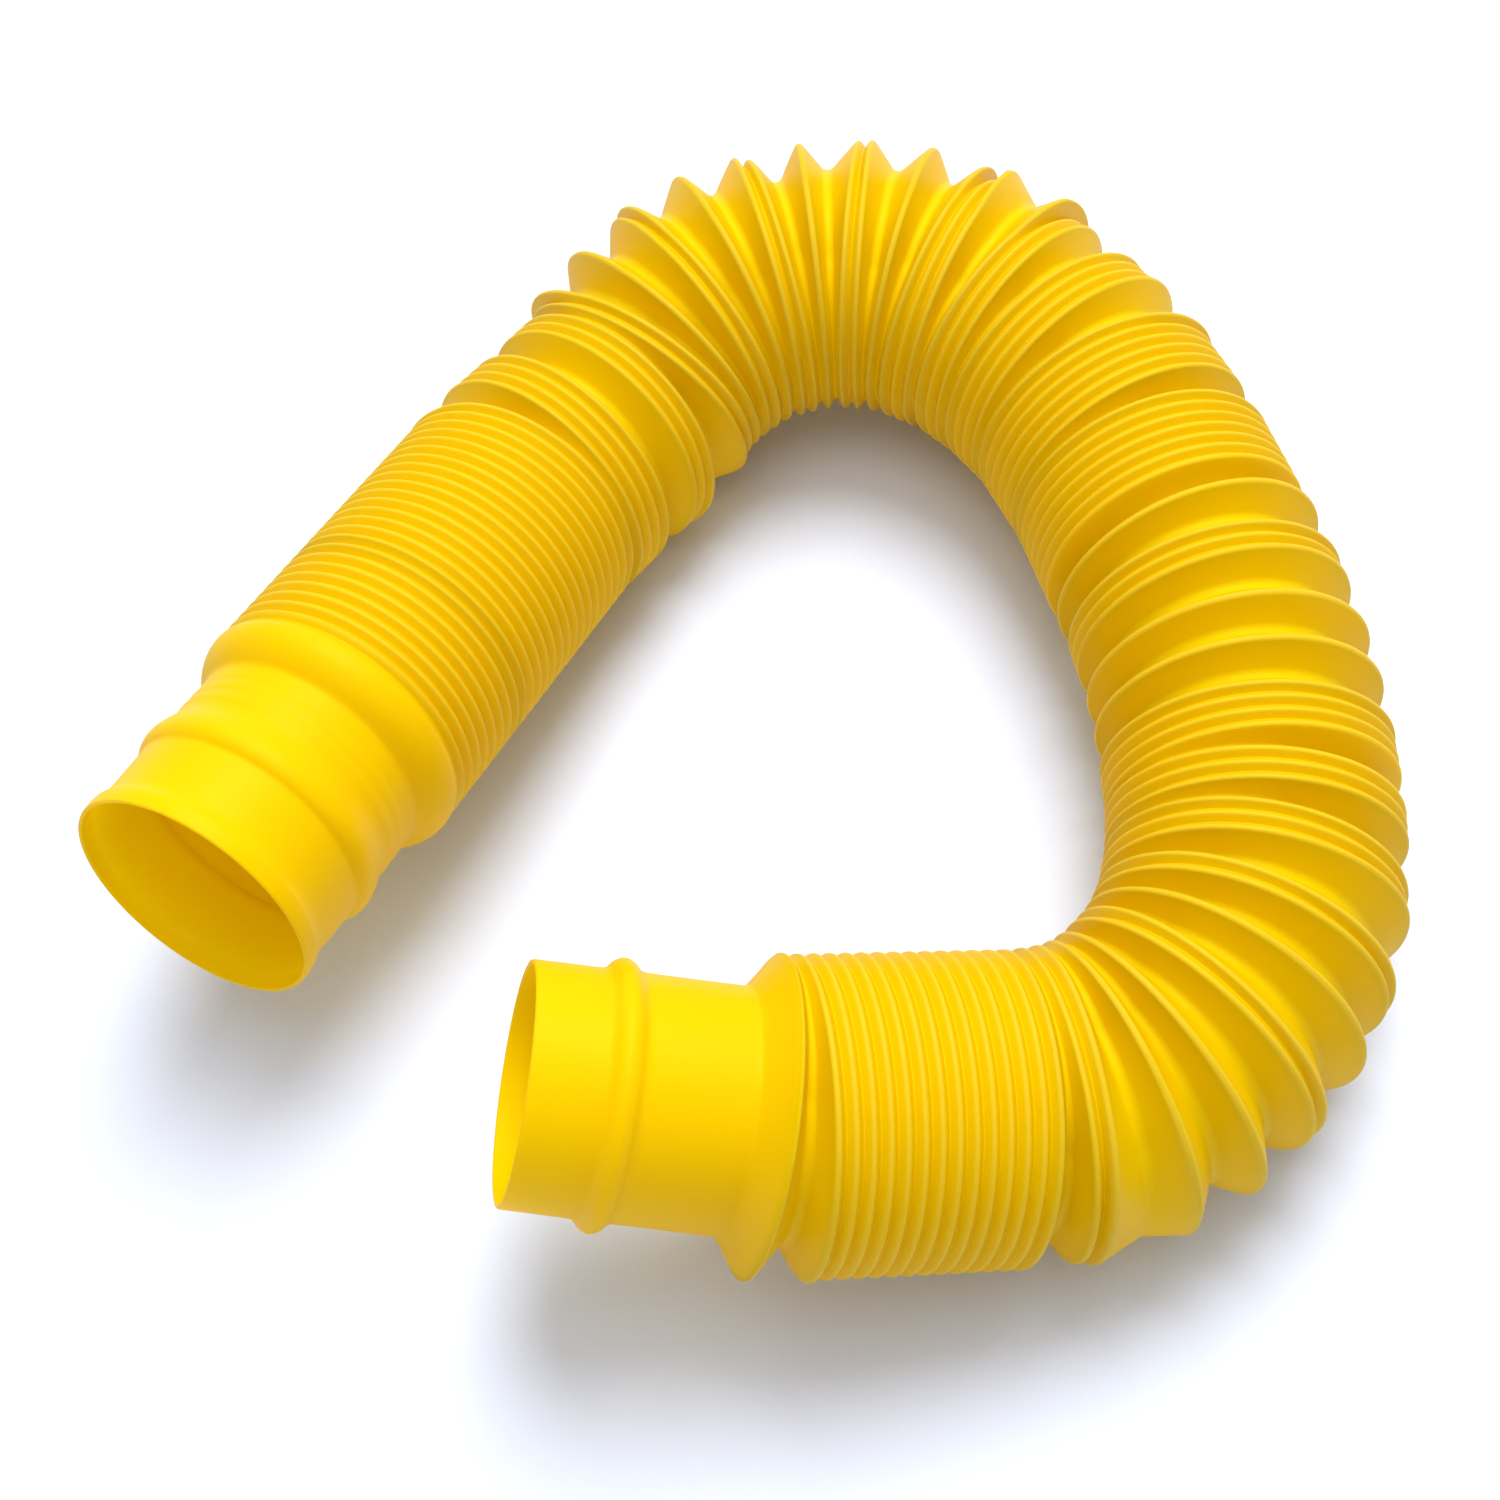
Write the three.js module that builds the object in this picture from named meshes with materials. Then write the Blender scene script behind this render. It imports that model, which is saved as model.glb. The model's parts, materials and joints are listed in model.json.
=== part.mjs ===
import * as THREE from 'three';

// A corrugated plastic tube that pops open fold by fold and stays where it is bent. It lies on the
// floor in one long hook, a socket cuff at one end and a spigot cuff at the other. Sizes in mm.
const crestRadius = 14.5; // outside of every fold
const grooveRadius = 11.7; // bottom of a groove
const boreRadius = 10.8; // clear way through the folds
const shutPitch = 1.5; // crest to crest while the folds are shut
const crestHalf = 0.6; // half the thickness of the last crest of a stack
const shoulderRadius = 13.7; // where a crest starts to round off
const clearance = 0.3; // air between neighbouring pieces
const sides = 20; // facets round the tube
const heading = 51.5; // way the tube sets off after its first bend, in degrees
const lean = [-2, 4.2]; // about x and y, so that the bent tube stands on three of its folds

// Socket cuff and spigot cuff: distance from the mouth and outside radius. The length runs from
// the mouth to the nearest crest.
const cuffWall = 0.8;
const socketLength = 25;
const spigotLength = 22;
const socketCuff = [
  [0, 12.95], [1.2, 12.8], [3, 12.5], [7.6, 12.6], [8.8, 13.0], [10.4, 13.4], [11.6, 13.3], [12.8, 12.7],
  [14, 12.5], [18.6, 12.6], [20, 13.3], [21.6, 14.4], [22.8, 14.6], [24.1, 14.3],
];
const spigotCuff = [
  [0, 10.9], [6.2, 11.0], [6.9, 11.7], [8, 12.15], [9.1, 11.7], [9.8, 11.05], [18.6, 11.1],
  [19.8, 12.0], [21.9, 14.5], [22.5, 13.7],
];

// Folds between the stacks. An arched fold is popped open on one side only: it turns the tube about
// its shut side. The bearing says where it is open: 0 outside of the hook, 180 inside, -90 below.
const arched = (turn, bearing = 0) => ({ kind: 'arched', turn, bearing });
// A spread fold is open all the way round, by this much from crest to crest, and may lean.
const spread = (turn, gap) => ({ kind: 'spread', turn, gap, bearing: 0 });
// A shut fold is still folded up, and can pop open along the tube.
const shut = (turn) => ({ kind: 'shut', turn, bearing: 0 });
// A stiff fold never moves: its wall belongs to the stack it sits in.
const stiff = (fold) => ({ ...fold, kind: 'stiff' });

// The tube from the socket end to the spigot end: crests in a stack, then the fold that follows.
const run = [
  8, shut(0), 16, arched(11.5, -30),
  4, spread(-1, 4.9), 3, arched(15, -100),
  2, arched(10.5, -5), 1, arched(9.5, 20),
  2, arched(11.5, 5), 1, arched(11, 5), 2, arched(9.5, 5), 1, arched(11.5),
  2, arched(11.5, 5), 1, arched(11), 3, arched(14.5, -10), 3, arched(10.5, -10),
  4, arched(12, -5), 6, arched(8.5, -20),
  7, stiff(spread(0, 3.5)), 1, spread(5, 5), 3, spread(4, 5.3), 1, stiff(spread(3, 5.1)), 1, spread(3.5, 5),
  4, stiff(spread(6.5, 2.6)), 3, arched(8.5, -25),
  3, arched(11.5, -5), 2, arched(9, 5), 1, arched(10.5, 5), 2, arched(10, 5),
  1, arched(11.5, -20), 1, arched(15, -30), 2, arched(8.5, -60),
  14, arched(9, -35), 1,
];

const rad = THREE.MathUtils.degToRad;
const group = new THREE.Group();
const tubeYellow = new THREE.MeshStandardMaterial({ color: 0xf8cf0a, roughness: 0.42, metalness: 0 });

// A crest frame: x along the tube, y to the outside of the hook, z up.
function spot(frame, along, radius, angle) {
  return new THREE.Vector3(along, radius * Math.cos(angle), radius * Math.sin(angle)).applyMatrix4(frame);
}

// Step from one crest to the next over a fold.
function step(frame, fold) {
  const open = new THREE.Vector3(0, Math.cos(rad(fold.bearing)), Math.sin(rad(fold.bearing)));
  const axis = open.clone().cross(new THREE.Vector3(1, 0, 0)).normalize();
  const turn = new THREE.Matrix4().makeRotationAxis(axis, rad(fold.turn));
  if (fold.gap) {
    const half = new THREE.Matrix4().makeRotationAxis(axis, rad(fold.turn / 2));
    const along = new THREE.Matrix4().makeTranslation(fold.gap, 0, 0);
    return frame.clone().multiply(half).multiply(along).multiply(half);
  }
  const pivot = open.clone().multiplyScalar(-crestRadius).setX(shutPitch / 2);
  const to = new THREE.Matrix4().makeTranslation(pivot);
  const back = new THREE.Matrix4().makeTranslation(pivot.clone().negate());
  const ahead = new THREE.Matrix4().makeTranslation(shutPitch, 0, 0);
  return frame.clone().multiply(to).multiply(turn).multiply(back).multiply(ahead);
}

// Closed skin through rings of points; the last ring joins the first, or each end closes to a blunt
// tip.
function skin(rings, closed = true) {
  const around = rings[0].length;
  const points = rings.flat();
  const index = [];
  for (let i = 0; i < rings.length - (closed ? 0 : 1); i += 1) {
    const next = (i + 1) % rings.length;
    for (let j = 0; j < around; j += 1) {
      const k = (j + 1) % around;
      const [a, b, c, d] = [i * around + j, i * around + k, next * around + k, next * around + j];
      index.push(a, b, c, a, c, d);
    }
  }
  if (!closed) {
    const tip = (end, next) => middleOf(end).lerp(middleOf(next), -0.12);
    points.push(tip(rings[0], rings[1]), tip(rings.at(-1), rings.at(-2)));
    const far = (rings.length - 1) * around;
    for (let j = 0; j < around; j += 1) {
      const k = (j + 1) % around;
      index.push(points.length - 2, k, j, points.length - 1, far + j, far + k);
    }
  }
  const geometry = new THREE.BufferGeometry().setFromPoints(points);
  geometry.setIndex(index);
  geometry.computeVertexNormals();
  return geometry;
}

function middleOf(points) {
  return points.reduce((sum, point) => sum.add(point), new THREE.Vector3()).divideScalar(points.length);
}

const angles = Array.from({ length: sides }, (_, i) => (2 * Math.PI * i) / sides);
const ring = (frame, along, radius) => angles.map((angle) => spot(frame, along, radius, angle));
const valley = (a, b, radius) => angles.map((angle) => (
  spot(a, 0, radius, angle).lerp(spot(b, 0, radius, angle), 0.5)));

function add(name, geometry) {
  const mesh = new THREE.Mesh(geometry, tubeYellow.clone());
  mesh.name = name;
  group.add(mesh);
  return mesh;
}

// Stack: crests and grooves outside, a smooth bore inside.
function stackSkin(frames) {
  const last = frames.length - 1;
  const rings = [ring(frames[0], -crestHalf, shoulderRadius)];
  frames.forEach((frame, i) => {
    rings.push(ring(frame, 0, crestRadius));
    if (i < last) rings.push(valley(frame, frames[i + 1], grooveRadius));
  });
  rings.push(ring(frames[last], crestHalf, shoulderRadius), ring(frames[last], crestHalf, boreRadius));
  for (let i = last - 1; i > 0; i -= 1) {
    if (bends(frames[i - 1], frames[i]) || bends(frames[i], frames[i + 1])) {
      rings.push(ring(frames[i], 0, boreRadius));
    }
  }
  rings.push(ring(frames[0], -crestHalf, boreRadius));
  return skin(rings);
}

function bends(a, b) {
  const ax = new THREE.Vector3().setFromMatrixColumn(a, 0);
  return ax.angleTo(new THREE.Vector3().setFromMatrixColumn(b, 0)) > 0.001;
}

// Pleat: the V-shaped wall of an open fold. Where the fold pinches shut there is no room for it,
// so on an arched fold it is a crescent.
function pleatSkin(a, b, fold) {
  const reach = crestHalf + clearance;
  const gapAt = (angle) => spot(a, 0, 13, angle).distanceTo(spot(b, 0, 13, angle));
  const section = (angle) => {
    const wall = (share, radius) => {
      const from = spot(a, 0, radius, angle);
      const to = spot(b, 0, radius, angle);
      const rim = reach / from.distanceTo(to);
      return from.lerp(to, rim + share * (1 - 2 * rim));
    };
    return [wall(0, 13.9), wall(0, 12.7), wall(0.5, boreRadius), wall(1, 12.7), wall(1, 13.9),
      wall(0.5, grooveRadius)];
  };
  const middle = rad(fold.bearing);
  const narrowest = 2 * reach + 0.8;
  if (gapAt(middle + Math.PI) > narrowest) return skin(angles.map(section));
  let span = 0;
  while (gapAt(middle + span + 0.05) > narrowest && gapAt(middle - span - 0.05) > narrowest) span += 0.05;
  const steps = Math.ceil((2 * span) / rad(18));
  return skin(Array.from({ length: steps + 1 }, (_, i) => (
    section(middle - span + (2 * span * i) / steps))), false);
}

// Cuff: turned profile with an even wall, its mouth at this length from the crest frame.
// Direction -1 runs back from the first crest, 1 runs on from the last.
function cuffSkin(frame, profile, length, direction) {
  const at = (distance) => direction * (length - distance);
  const outer = profile.map(([distance, radius]) => ring(frame, at(distance), radius));
  const inner = profile.map(([distance, radius]) => ring(frame, at(distance), radius - cuffWall));
  return skin(direction < 0 ? [...outer, ...inner.reverse()] : [...inner, ...outer.reverse()]);
}

// Walk the tube once to get every crest frame, then lay the hook down.
const frames = [new THREE.Matrix4()];
const folds = [];
run.forEach((item) => {
  const steps = typeof item === 'number' ? Array(item - 1).fill({ gap: shutPitch, turn: 0, bearing: 0 }) : [item];
  steps.forEach((fold) => {
    if (fold.kind) folds.push({ ...fold, after: frames.length - 1 });
    frames.push(step(frames.at(-1), fold));
  });
});
const firstBent = folds.find((fold) => fold.kind === 'arched').after + 1;
const lay = new THREE.Matrix4().makeRotationY(rad(lean[1]))
  .multiply(new THREE.Matrix4().makeRotationX(rad(lean[0])))
  .multiply(new THREE.Matrix4().makeRotationZ(rad(heading)))
  .multiply(frames[firstBent].clone().invert());
frames.forEach((frame) => frame.premultiply(lay));

// Stacks run between the folds that move; each such fold has a pleat unless it is folded up.
add('socket_cuff', cuffSkin(frames[0], socketCuff, socketLength, -1));
let first = 0;
folds.filter((fold) => fold.kind !== 'stiff').forEach((fold, i) => {
  const label = String(i + 1).padStart(2, '0');
  add(`stack_${label}`, stackSkin(frames.slice(first, fold.after + 1)));
  if (fold.kind !== 'shut') {
    add(`pleat_${label}`, pleatSkin(frames[fold.after], frames[fold.after + 1], fold));
  }
  first = fold.after + 1;
});
add('spigot_cuff', cuffSkin(frames[first], spigotCuff, spigotLength, 1));

// The origin is on the floor, under the middle of the outline.
const box = new THREE.Box3().setFromObject(group);
const middle = box.getCenter(new THREE.Vector3());
group.position.set(-middle.x, -middle.y, -box.min.z);

export default group;
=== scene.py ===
import json
import math

import bpy
import numpy as np
from mathutils import Matrix, Vector


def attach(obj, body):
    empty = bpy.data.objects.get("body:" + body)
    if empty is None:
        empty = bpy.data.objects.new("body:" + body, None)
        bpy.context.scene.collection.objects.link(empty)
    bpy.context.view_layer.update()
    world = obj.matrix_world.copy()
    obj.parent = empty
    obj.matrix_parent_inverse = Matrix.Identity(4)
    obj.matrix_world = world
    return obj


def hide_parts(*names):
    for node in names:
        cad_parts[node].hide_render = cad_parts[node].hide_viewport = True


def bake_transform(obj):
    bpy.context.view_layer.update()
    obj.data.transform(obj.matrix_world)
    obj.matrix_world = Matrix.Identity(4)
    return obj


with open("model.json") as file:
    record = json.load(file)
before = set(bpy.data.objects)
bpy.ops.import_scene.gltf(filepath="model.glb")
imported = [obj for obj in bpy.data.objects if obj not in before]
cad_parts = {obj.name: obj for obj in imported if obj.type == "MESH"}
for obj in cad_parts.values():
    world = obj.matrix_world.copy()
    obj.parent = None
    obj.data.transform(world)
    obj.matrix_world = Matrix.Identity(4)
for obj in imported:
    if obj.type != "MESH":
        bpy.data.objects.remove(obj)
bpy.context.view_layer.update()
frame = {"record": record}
mm = 0.001


camera = {
    "lookAt": (-0.15, -9.72, 15.0),  # mm, a little in front of the middle of the hook
    "azimuth": 5.43,
    "elevation": 57.92,
    "roll": -7.84,  # degrees
    "distance": 220.2,
    "lens": 51.6,
}


def viewAxes(azimuth, elevation, roll):
    a, e, r = math.radians(azimuth), math.radians(elevation), math.radians(roll)
    ahead = Vector((-math.sin(a) * math.cos(e), math.cos(a) * math.cos(e), -math.sin(e)))
    right = Vector((math.cos(a), math.sin(a), 0))
    up = right.cross(ahead)
    return right * math.cos(r) + up * math.sin(r), up * math.cos(r) - right * math.sin(r), ahead


def makeCamera():
    right, up, ahead = viewAxes(camera["azimuth"], camera["elevation"], camera["roll"])
    data = bpy.data.cameras.new("camera")
    data.lens, data.sensor_width = camera["lens"], 36
    data.clip_start, data.clip_end = 0.01, 10
    obj = bpy.data.objects.new("camera", data)
    place = (Vector(camera["lookAt"]) - ahead * camera["distance"]) * mm
    obj.matrix_world = Matrix((right, up, -ahead)).transposed().to_4x4()
    obj.location = place
    bpy.context.scene.collection.objects.link(obj)
    bpy.context.scene.camera = obj
    return up


imageUp = makeCamera()

studio = {
    "floor": "#e4ecff",
    "floorHalf": 3,  # m
    "sky": 0.5,  # even light from the white room
    "keyPower": 17.5,  # W, a wide softbox high behind the tube
    "keySize": 0.9,  # m
    "keyFrom": (0.16, 0.54, 1.17),  # m, right, back and up from the middle
    "fillPower": 0.2,  # W, a small one over the hollow of the hook
    "fillSize": 0.22,
    "fillFrom": (0, -0.05, 0.33),
}


def toLinear(code):
    parts = [int(code[i:i + 2], 16) / 255 for i in (1, 3, 5)]
    return [c / 12.92 if c <= 0.04045 else ((c + 0.055) / 1.055) ** 2.4 for c in parts] + [1.0]


def addNode(tree, kind, links=None, **settings):
    node = tree.nodes.new(kind)
    for name, value in settings.items():
        if hasattr(node, name):
            setattr(node, name, value)
        else:
            node.inputs[name.replace("_", " ")].default_value = value
    for name, source in (links or {}).items():
        tree.links.new(source, node.inputs[name])
    return node


def newMaterial(name):
    material = bpy.data.materials.new(name)
    material.use_nodes = True
    material.node_tree.nodes.clear()
    return material, material.node_tree


def makeLight(name, power, size, away):
    data = bpy.data.lights.new(name, "AREA")
    data.shape, data.size, data.energy = "DISK", size, power
    obj = bpy.data.objects.new(name, data)
    flatUp = Vector((imageUp.x, imageUp.y, 0)).normalized()
    flatRight = Vector((flatUp.y, -flatUp.x, 0))
    obj.location = flatRight * away[0] + flatUp * away[1] + Vector((0, 0, away[2]))
    obj.rotation_euler = (-obj.location).to_track_quat("-Z", "Y").to_euler()
    bpy.context.scene.collection.objects.link(obj)


def makeStudio():
    makeLight("softbox", studio["keyPower"], studio["keySize"], studio["keyFrom"])
    makeLight("fill", studio["fillPower"], studio["fillSize"], studio["fillFrom"])
    world = bpy.data.worlds.new("room")
    world.use_nodes = True
    world.node_tree.nodes["Background"].inputs["Color"].default_value = (1, 1, 1, 1)
    world.node_tree.nodes["Background"].inputs["Strength"].default_value = studio["sky"]
    bpy.context.scene.world = world
    material, tree = newMaterial("paintedStudioFloor")
    shader = addNode(tree, "ShaderNodeBsdfPrincipled", Roughness=0.9)
    shader.inputs["Base Color"].default_value = toLinear(studio["floor"])
    addNode(tree, "ShaderNodeOutputMaterial", {"Surface": shader.outputs[0]})
    mesh = bpy.data.meshes.new("floor")
    half = studio["floorHalf"]
    corners = [(-half, -half, 0), (half, -half, 0), (half, half, 0), (-half, half, 0)]
    mesh.from_pydata(corners, [], [(0, 1, 2, 3)])
    mesh.materials.append(material)
    floor = bpy.data.objects.new("floor", mesh)
    bpy.context.scene.collection.objects.link(floor)
    bpy.context.scene.view_settings.view_transform = "Standard"


makeStudio()
print("camera, floor and lights are up")


# the bent tube: where every crest stands, fold by fold
tube = {
    "crestRadius": 14.5,  # mm
    "shutPitch": 1.5,  # mm from crest to crest where the folds are shut
    "heading": 51.5,  # degrees
    "lean": (-2, 4.2),  # degrees about x and y, so that it stands on three of its folds
    "rim": (-25, 12.55, 0),  # mm from the first crest; the record says where this point stands
    "around": 144,  # points round the tube
    "wall": 0.45,  # mm of plastic
    "clear": 0.02,  # mm over the floor, which presses the lowest folds flat
}


# a fold opened on one side
def arched(turn, bearing=0):
    return {"kind": "arched", "turn": turn, "bearing": bearing}


# a fold opened all round
def spread(turn, gap):
    return {"kind": "spread", "turn": turn, "gap": gap, "bearing": 0}


def shut(turn):
    return {"kind": "shut", "turn": turn, "gap": tube["shutPitch"], "bearing": 0}


# an open fold that does not move
def stiff(fold):
    return {**fold, "kind": "stiff"}


run = [  # a number is how many crests stand in a shut stack
    8, shut(0), 16, arched(11.5, -30),
    4, spread(-1, 4.9), 3, arched(15, -100),
    2, arched(10.5, -5), 1, arched(9.5, 20),
    2, arched(11.5, 5), 1, arched(11, 5), 2, arched(9.5, 5), 1, arched(11.5),
    2, arched(11.5, 5), 1, arched(11), 3, arched(14.5, -10), 3, arched(10.5, -10),
    4, arched(12, -5), 6, arched(8.5, -20),
    7, stiff(spread(0, 3.5)), 1, spread(5, 5), 3, spread(4, 5.3),
    1, stiff(spread(3, 5.1)), 1, spread(3.5, 5),
    4, stiff(spread(6.5, 2.6)), 3, arched(8.5, -25),
    3, arched(11.5, -5), 2, arched(9, 5), 1, arched(10.5, 5), 2, arched(10, 5),
    1, arched(11.5, -20), 1, arched(15, -30), 2, arched(8.5, -60),
    14, arched(9, -35), 1,
]


def rotation(degrees, axis):
    return Matrix.Rotation(math.radians(degrees), 4, axis)


def nextCrest(crest, fold):
    bearing = math.radians(fold["bearing"])
    opening = Vector((0, math.cos(bearing), math.sin(bearing)))
    axis = opening.cross(Vector((1, 0, 0)))
    if "gap" in fold:
        half = rotation(fold["turn"] / 2, axis)
        return crest @ half @ Matrix.Translation((fold["gap"], 0, 0)) @ half
    pivot = -opening * tube["crestRadius"] + Vector((tube["shutPitch"] / 2, 0, 0))
    turn = rotation(fold["turn"], axis)
    step = Matrix.Translation((tube["shutPitch"], 0, 0))
    return crest @ Matrix.Translation(pivot) @ turn @ Matrix.Translation(-pivot) @ step


def walkTube():
    crests, folds = [Matrix.Identity(4)], []
    for item in run:
        steps = [shut(0)] * (item - 1) if isinstance(item, int) else [item]
        for fold in steps:
            if not isinstance(item, int):
                folds.append({**fold, "after": len(crests) - 1})
            crests.append(nextCrest(crests[-1], fold))
    firstBent = next(f for f in folds if f["kind"] == "arched")["after"] + 1
    lay = rotation(tube["lean"][1], "Y") @ rotation(tube["lean"][0], "X")
    lay = lay @ rotation(tube["heading"], "Z") @ crests[firstBent].inverted()
    crests = [lay @ c for c in crests]
    rim = crests[0] @ Vector(tube["rim"])
    mount = next(m for m in frame["record"]["mounts"] if m["name"] == "socket_rim")
    shift = Matrix.Translation(Vector(mount["pos_m"]) / mm - rim)
    return [shift @ c for c in crests], folds


crests, folds = walkTube()
places = np.array([[list(row) for row in c] for c in crests])
theta = 2 * math.pi * np.arange(tube["around"]) / tube["around"]
radial = np.stack([0 * theta, np.cos(theta), np.sin(theta)], -1)
print(len(crests), "crests")


# section of the wall, crest by crest
pleat = {
    "tipRadius": 0.3,  # rounding of a crest
    "tipGrowth": 0.05,  # an opened crest is rounder
    "slant": 4.66,  # mm of wall from crest to valley
    "rootRadius": 0.1,  # rounding of a valley
    "rootGrowth": 0.25,
    "shutDepth": 0.68,  # a shut fold leaves only a shallow groove
    "deepening": 1.35,  # mm of depth for each mm the fold opens
    "fullDepth": 3.1,
    "off": 0.04,  # how far the valley of an open fold sits off its middle
    "wide": 5.2,  # mm, from here on a fold pulls its crests outward
    "lift": 0.2,  # how far a crest beside a wide fold stands out
    "bendLift": 0.85,  # the same at the top of the hook, where the bend pulls hardest
    "bend": (32, 47),  # first and last crest of that bend
}


def gapRound(i):
    a = places[i][:3, 3] + tube["crestRadius"] * radial @ places[i][:3, :3].T
    b = places[i + 1][:3, 3] + tube["crestRadius"] * radial @ places[i + 1][:3, :3].T
    return np.linalg.norm(b - a, axis=1)


# rows from a crest down to the valley beside it
def halfBay(gap, share, crestTop, valleyBottom):
    reach = gap * share
    opened = gap - tube["shutPitch"]
    tip = np.minimum(pleat["tipRadius"] + pleat["tipGrowth"] * opened, 0.8 * reach)
    root = np.minimum(pleat["rootRadius"] + pleat["rootGrowth"] * np.clip(opened, 0, 5), 0.3 * reach)
    drop = crestTop - tip - valleyBottom - root
    reachAll = np.hypot(reach, drop)
    tilt = np.arctan2(drop, reach) + np.arcsin(np.clip((tip + root) / reachAll, -1, 1))
    rows = []
    for k in range(5):
        t = tilt * k / 4
        rows.append((tip * np.sin(t), crestTop - tip + tip * np.cos(t)))
    end = (reach - root * np.sin(tilt), valleyBottom + root - root * np.cos(tilt))
    for k in (1, 2):
        rows.append(tuple(rows[4][m] + (end[m] - rows[4][m]) * k / 3 for m in (0, 1)))
    for k in range(4):
        t = tilt * (1 - k / 3)
        rows.append((reach - root * np.sin(t), valleyBottom + root - root * np.cos(t)))
    return rows


def bayRows(i, gaps, tops):
    gap = gaps[i]
    opened = np.clip(gap - tube["shutPitch"], 0, None)
    depth = np.minimum(pleat["fullDepth"], pleat["shutDepth"] + pleat["deepening"] * opened)
    depth = np.minimum(depth, np.sqrt(np.clip(pleat["slant"] ** 2 - gap ** 2 / 4, 1, None)))
    bottom = np.minimum(tops[i], tops[i + 1]) - depth
    share = 0.5 - pleat["off"] * np.clip(opened / 4, 0, 1)
    near = halfBay(gap, share, tops[i], bottom)
    far = halfBay(gap, 1 - share, tops[i + 1], bottom)
    section = near + [(gap - x, r) for x, r in far[-2::-1]]
    a, b = places[i], places[i + 1]
    rows = []
    for x, r in section:
        u = (x / gap)[:, None]
        pa = a[:3, 3] + r[:, None] * (radial @ a[:3, :3].T)
        pb = b[:3, 3] + r[:, None] * (radial @ b[:3, :3].T)
        rows.append(pa * (1 - u) + pb * u)
    return rows


socketCuff = {
    "length": 25.0,  # mouth to first crest
    "profile": [  # distance from the mouth, outside radius
        (0.0, 12.95), (0.5, 13.0), (1.5, 12.98), (1.9, 12.8), (2.3, 12.62), (3.3, 12.5),  # flared lip
        (5.5, 12.56), (7.9, 12.62), (8.75, 12.62),
        (8.95, 12.9), (9.5, 13.25), (10.2, 13.38), (11.0, 13.3), (12.0, 13.0), (13.0, 12.66),  # bead
        (13.9, 12.58), (14.7, 12.72), (15.5, 12.58), (16.3, 12.7), (17.1, 12.56), (17.9, 12.66),  # faint rings
        (18.7, 12.6), (19.25, 12.66), (19.6, 13.0), (20.2, 13.6), (20.9, 14.1), (21.8, 14.5),  # shoulder
        (22.8, 14.64), (23.6, 14.5), (24.1, 14.15), (24.25, 13.9), (24.5, 14.2), (25.0, 14.5),
    ],
}
spigotCuff = {
    "length": 22.0,
    "profile": [
        (0.0, 10.9), (1.0, 10.92), (5.6, 10.98), (6.4, 11.02),
        (6.75, 11.3), (7.2, 11.85), (8.0, 12.2), (8.8, 11.85), (9.3, 11.3), (9.7, 11.08),  # bead
        (10.5, 11.05), (18.8, 11.12), (19.35, 11.16),
        (19.6, 11.35), (20.4, 12.35), (21.2, 13.45), (21.6, 14.1), (22.0, 14.5),  # cone
    ],
}


# corners are cut twice, then points closer than leastStep are dropped
def roundedProfile(points, rounds=2, leastStep=0.16):
    line = [np.array(p, float) for p in points]
    for _ in range(rounds):
        cut = [line[0]]
        for a, b in zip(line, line[1:]):
            cut += [0.75 * a + 0.25 * b, 0.25 * a + 0.75 * b]
        line = cut + [line[-1]]
    kept = [line[0]]
    for p in line[1:-1]:
        if np.linalg.norm(p - kept[-1]) > leastStep:
            kept.append(p)
    return kept + [line[-1]]


def cuffRows(cuff, place, direction):
    rows = []
    for distance, radius in roundedProfile(cuff["profile"]):
        x = direction * (cuff["length"] - distance)
        local = np.stack([0 * theta + x, radius * np.cos(theta), radius * np.sin(theta)], -1)
        rows.append(local @ place[:3, :3].T + place[:3, 3])
    return rows


# all rows of the tube stand in one grid, so that neighbouring pieces share their edges and normals
gaps = [gapRound(i) for i in range(len(crests) - 1)]
tops = []
for i in range(len(crests)):
    beside = [gaps[k] for k in (i - 1, i) if 0 <= k < len(gaps)]
    lift = pleat["bendLift"] if pleat["bend"][0] <= i <= pleat["bend"][1] else pleat["lift"]
    tops.append(tube["crestRadius"] + lift * np.clip(np.max(beside, axis=0) - pleat["wide"], 0, 2))

outer = cuffRows(socketCuff, places[0], -1)
crestRow = [len(outer) - 1]
for i in range(len(gaps)):
    outer += bayRows(i, gaps, tops)[1:]
    crestRow.append(len(outer) - 1)
outer += cuffRows(spigotCuff, places[-1], 1)[::-1][1:]
outer = np.array(outer)
outer[..., 2] = np.maximum(outer[..., 2], tube["clear"])

alongTube = np.gradient(outer, axis=0)
roundTube = np.roll(outer, -1, 1) - np.roll(outer, 1, 1)
normals = np.cross(roundTube, alongTube)
normals /= np.linalg.norm(normals, axis=2, keepdims=True)
centre = outer.mean(1, keepdims=True)
if ((outer - centre) * normals).sum() < 0:
    normals = -normals
inner = outer - tube["wall"] * normals
gone = np.r_[0, np.cumsum(np.linalg.norm(np.diff(outer, axis=0), axis=2).mean(1))]
high = np.linalg.norm(outer - centre, axis=2)
print("wall grid", outer.shape)


tubePlastic = {
    # painted light and shade: lit colours the crests, deep the valleys and the inside, mixed by crest height
    "lit": "#ffda00",
    "deep": "#ffe800",  # painted bounce light: the colour of the valleys and the inside, where light bounces between walls and turns warmer
    "drift": 0.06,  # uneven colour, as a share of the way from lit to deep
    "edge": "#ffe14a",  # painted highlight along the crests, partly also the lighter colour of plastic stretched thin there
    "crestHighlightShare": 0.42,
    "through": "#ffe400",  # light that has passed the wall
    "thin": 0.4,  # share of the light that passes
    "gloss": "#ffe680",
    "glossLevel": 0.2,
    "roughness": (0.36, 0.46),
    "grain": 0.35,  # mm, mould texture; the real one is nearer 0.1 and is drawn coarser to show
    "grainHeight": 0.04,  # mm
    "streak": 9.0,  # mm, slow drift of colour in the melt
    "cuff": 0.88,  # the cuffs have no folds to shade them
}


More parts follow.
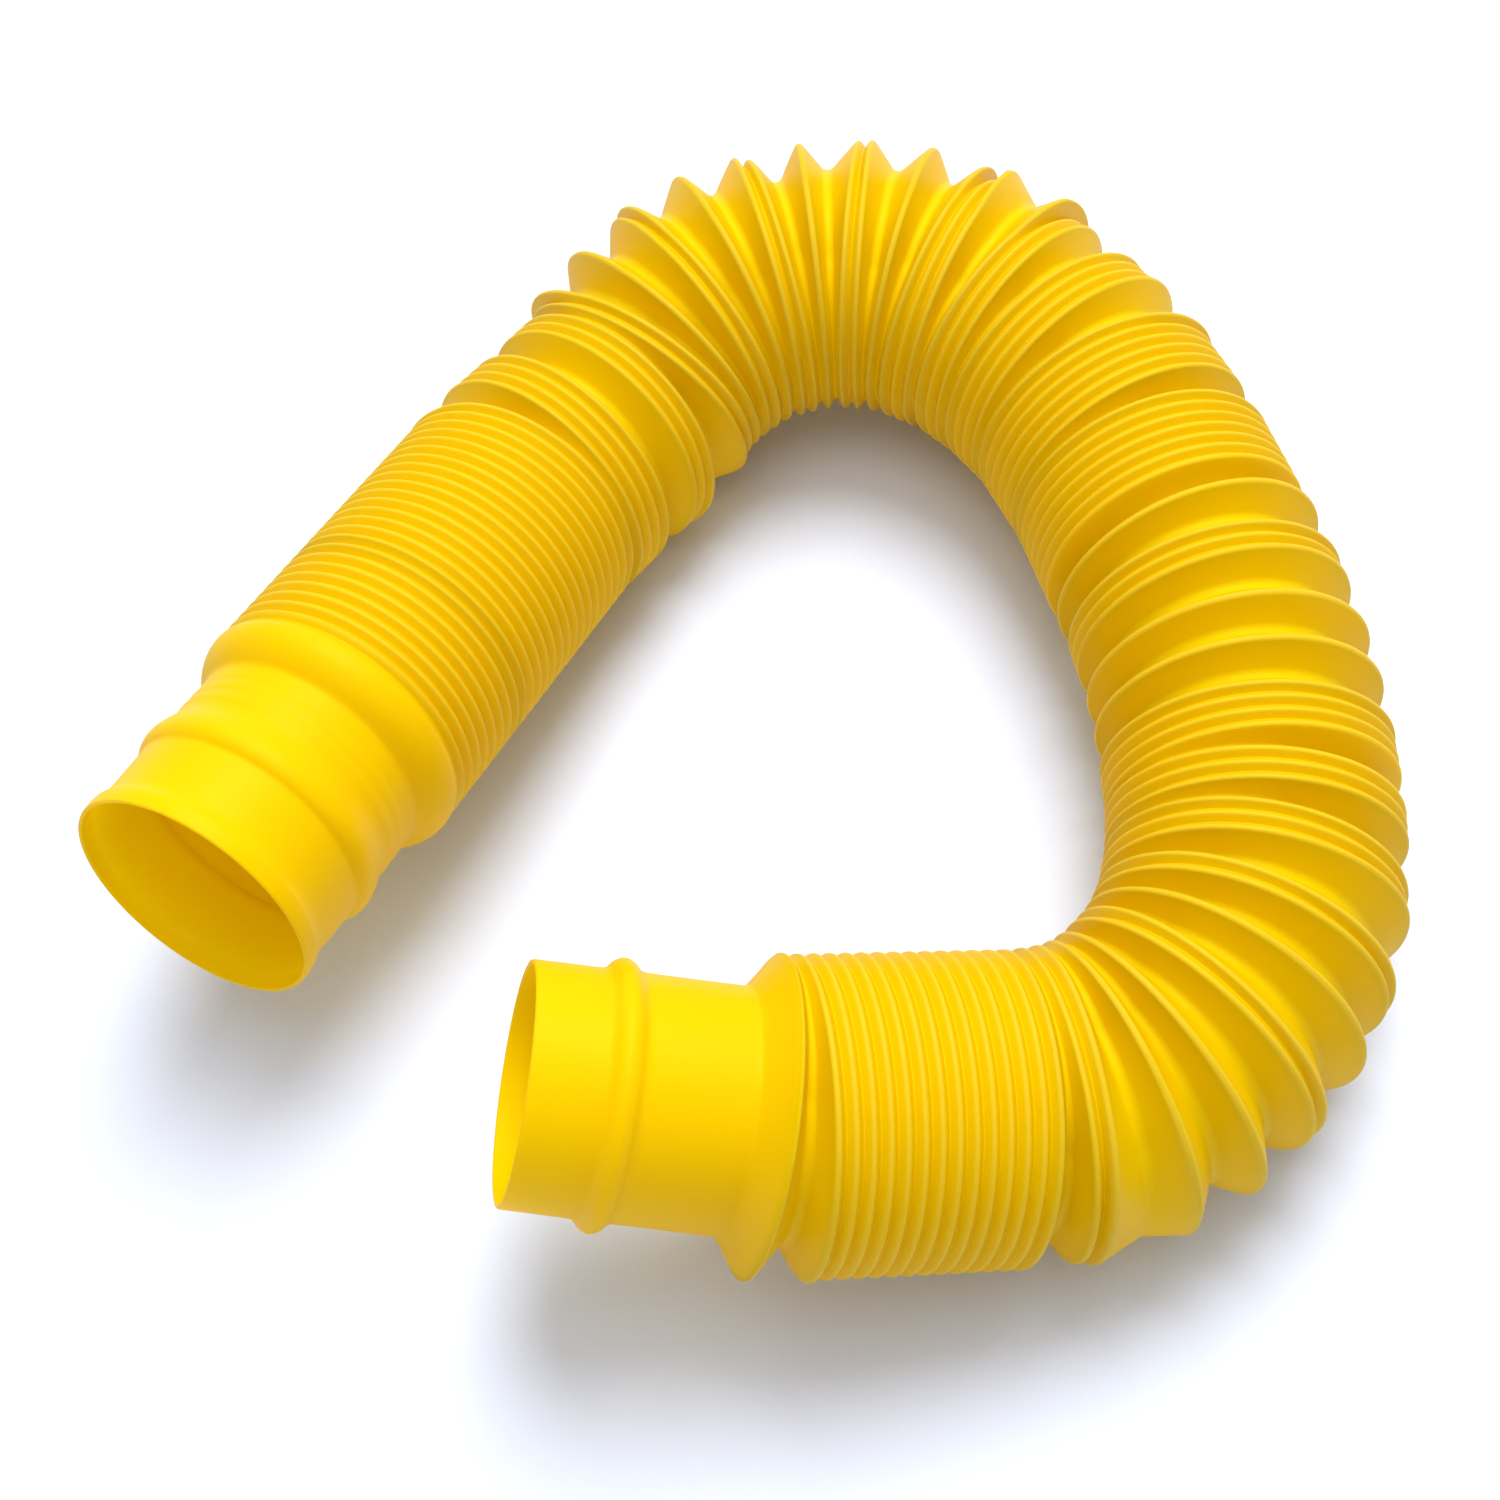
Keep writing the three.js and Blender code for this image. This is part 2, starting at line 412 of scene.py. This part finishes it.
# polyethylene blown into a mould: satin, coloured right through, and thin enough to let light pass
def makeTubePlastic():
    material, tree = newMaterial("blowMouldedPolyethylene")
    place = addNode(tree, "ShaderNodeAttribute", attribute_name="unbent").outputs["Vector"]
    crest = addNode(tree, "ShaderNodeAttribute", attribute_name="crestness").outputs["Fac"]
    drift = addNode(tree, "ShaderNodeTexNoise", {"Vector": place}, Scale=1 / tubePlastic["streak"], Detail=3.0)
    grain = addNode(tree, "ShaderNodeTexNoise", {"Vector": place}, Scale=1 / tubePlastic["grain"], Detail=2.0)
    uneven = addNode(tree, "ShaderNodeMapRange", {"Value": drift.outputs["Fac"]}, From_Min=0.3, From_Max=0.7,
                     To_Min=-tubePlastic["drift"], To_Max=tubePlastic["drift"])
    # painted light and shade by crest height, with a real uneven drift of colour added
    share = addNode(tree, "ShaderNodeMath", {0: crest, 1: uneven.outputs[0]}, operation="ADD", use_clamp=True)
    colour = addNode(tree, "ShaderNodeMix", {"Factor": share.outputs[0]}, data_type="RGBA",
                     A=toLinear(tubePlastic["deep"]), B=toLinear(tubePlastic["lit"]))
    # painted highlight: the top of every crest is mixed towards the edge colour
    top = addNode(tree, "ShaderNodeMapRange", {"Value": crest}, From_Min=0.91, From_Max=0.975,
                  To_Min=0.0, To_Max=tubePlastic["crestHighlightShare"])
    highlighted = addNode(tree, "ShaderNodeMix", {"Factor": top.outputs[0], "A": colour.outputs["Result"]},
                    data_type="RGBA", B=toLinear(tubePlastic["edge"]))
    rough = addNode(tree, "ShaderNodeMapRange", {"Value": grain.outputs["Fac"]}, From_Min=0.3, From_Max=0.7,
                    To_Min=tubePlastic["roughness"][0], To_Max=tubePlastic["roughness"][1])
    bump = addNode(tree, "ShaderNodeBump", {"Height": grain.outputs["Fac"]},
                   Strength=0.12, Distance=tubePlastic["grainHeight"] * mm)
    shader = addNode(tree, "ShaderNodeBsdfPrincipled", {"Base Color": highlighted.outputs["Result"],
                     "Roughness": rough.outputs[0], "Normal": bump.outputs[0]}, IOR=1.5,
                     Specular_IOR_Level=tubePlastic["glossLevel"], Specular_Tint=toLinear(tubePlastic["gloss"]))
    glow = addNode(tree, "ShaderNodeBsdfTranslucent", Color=toLinear(tubePlastic["through"]))
    both = addNode(tree, "ShaderNodeMixShader", {1: shader.outputs[0], 2: glow.outputs[0]},
                   Fac=tubePlastic["thin"])
    addNode(tree, "ShaderNodeOutputMaterial", {"Surface": both.outputs[0]})
    return material


plastic = makeTubePlastic()


# half round from the outer edge to the inner edge of a mouth
def lipRows(row):
    middle = (outer[row] + inner[row]) / 2
    out = (outer[row] - inner[row]) / 2
    along = outer[row].mean(0) - outer[1 if row == 0 else -2].mean(0)
    along = along / np.linalg.norm(along) * tube["wall"] / 2
    points, facing = [], []
    for k in (1, 2, 3):
        t = math.pi * k / 4
        d = out * math.cos(t) + along * math.sin(t)
        points.append(middle + d)
        facing.append(d / np.linalg.norm(d, axis=1, keepdims=True))
    return points, facing


def makePiece(name, first, last, lipAtStart=False, lipAtEnd=False):
    insideRows = sorted({*range(first, last + 1, 4), last})  # the inside needs fewer rows
    rings = [outer[k] for k in range(first, last + 1)]
    facing = [normals[k] for k in range(first, last + 1)]
    rowOf = list(range(first, last + 1))
    if lipAtEnd:
        extra, face = lipRows(last)
        rings += extra
        facing += face
        rowOf += [last] * 3
    rings += [inner[k] for k in reversed(insideRows)]
    facing += [-normals[k] for k in reversed(insideRows)]
    rowOf += list(reversed(insideRows))
    if lipAtStart:
        extra, face = lipRows(first)
        rings += extra[::-1]
        facing += face[::-1]
        rowOf += [first] * 3
    count, around = len(rings), tube["around"]
    index = np.arange(count * around).reshape(count, around)
    down, side = np.roll(index, -1, 0), np.roll(index, -1, 1)
    faces = np.stack([index, side, np.roll(down, -1, 1), down], -1).reshape(-1, 4)
    points = np.concatenate(rings) * mm
    normal = np.concatenate(facing)
    test = faces[0]
    across = np.cross(points[test[1]] - points[test[0]], points[test[3]] - points[test[0]])
    if across @ normal[test[0]] < 0:
        faces = faces[:, ::-1]
    mesh = bpy.data.meshes.new(name)
    mesh.from_pydata(points.tolist(), [], faces.tolist())
    mesh.polygons.foreach_set("use_smooth", [True] * len(faces))
    mesh.normals_split_custom_set_from_vertices(normal.tolist())
    unbent = mesh.attributes.new("unbent", "FLOAT_VECTOR", "POINT")
    straight = gone[rowOf][:, None]  # mm along the tube, as if it lay straight
    rolled = np.stack([straight + 0 * theta, 14 * np.cos(theta) + 0 * straight,
                       14 * np.sin(theta) + 0 * straight], -1)
    unbent.data.foreach_set("vector", rolled.reshape(-1).astype(np.float32))
    crestness = mesh.attributes.new("crestness", "FLOAT", "POINT")
    # crest height, which sets the painted light and shade of the wall
    share = np.clip((high[rowOf] - 11.0) / 3.6, 0, 1)
    if lipAtStart or lipAtEnd:
        share[:] = tubePlastic["cuff"]
    share[last - first + 1 + 3 * lipAtEnd:len(share) - 3 * lipAtStart] = 0  # inside of the wall, which takes the painted bounce colour
    crestness.data.foreach_set("value", share.reshape(-1).astype(np.float32))
    mesh.materials.append(plastic)
    obj = bpy.data.objects.new(name, mesh)
    bpy.context.scene.collection.objects.link(obj)
    return obj


def makeTube():
    moving = [f for f in folds if f["kind"] != "stiff"]
    bodies = [f"section_{i:02d}" for i in range(1, len(moving) + 1)] + ["spigot_end"]
    cuff = makePiece("socketCuffWall", 0, crestRow[0] - 2, lipAtStart=True)
    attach(cuff, bodies[0])
    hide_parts("socket_cuff")
    start = crestRow[0] - 2
    for i, fold in enumerate(moving):
        after = fold["after"]
        stack = makePiece(f"stackWall_{i + 1:02d}", start, crestRow[after] + 1)
        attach(stack, bodies[i])
        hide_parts(f"stack_{i + 1:02d}")
        wall = makePiece(f"foldWall_{i + 1:02d}", crestRow[after] + 1, crestRow[after + 1] - 1)
        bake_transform(wall)
        if fold["kind"] != "shut":
            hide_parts(f"pleat_{i + 1:02d}")
        start = crestRow[after + 1] - 1
    cuff = makePiece("spigotCuffWall", start, len(outer) - 1, lipAtEnd=True)
    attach(cuff, bodies[-1])
    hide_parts("spigot_cuff")
    print(len(moving), "folds between", len(bodies), "sections")


makeTube()
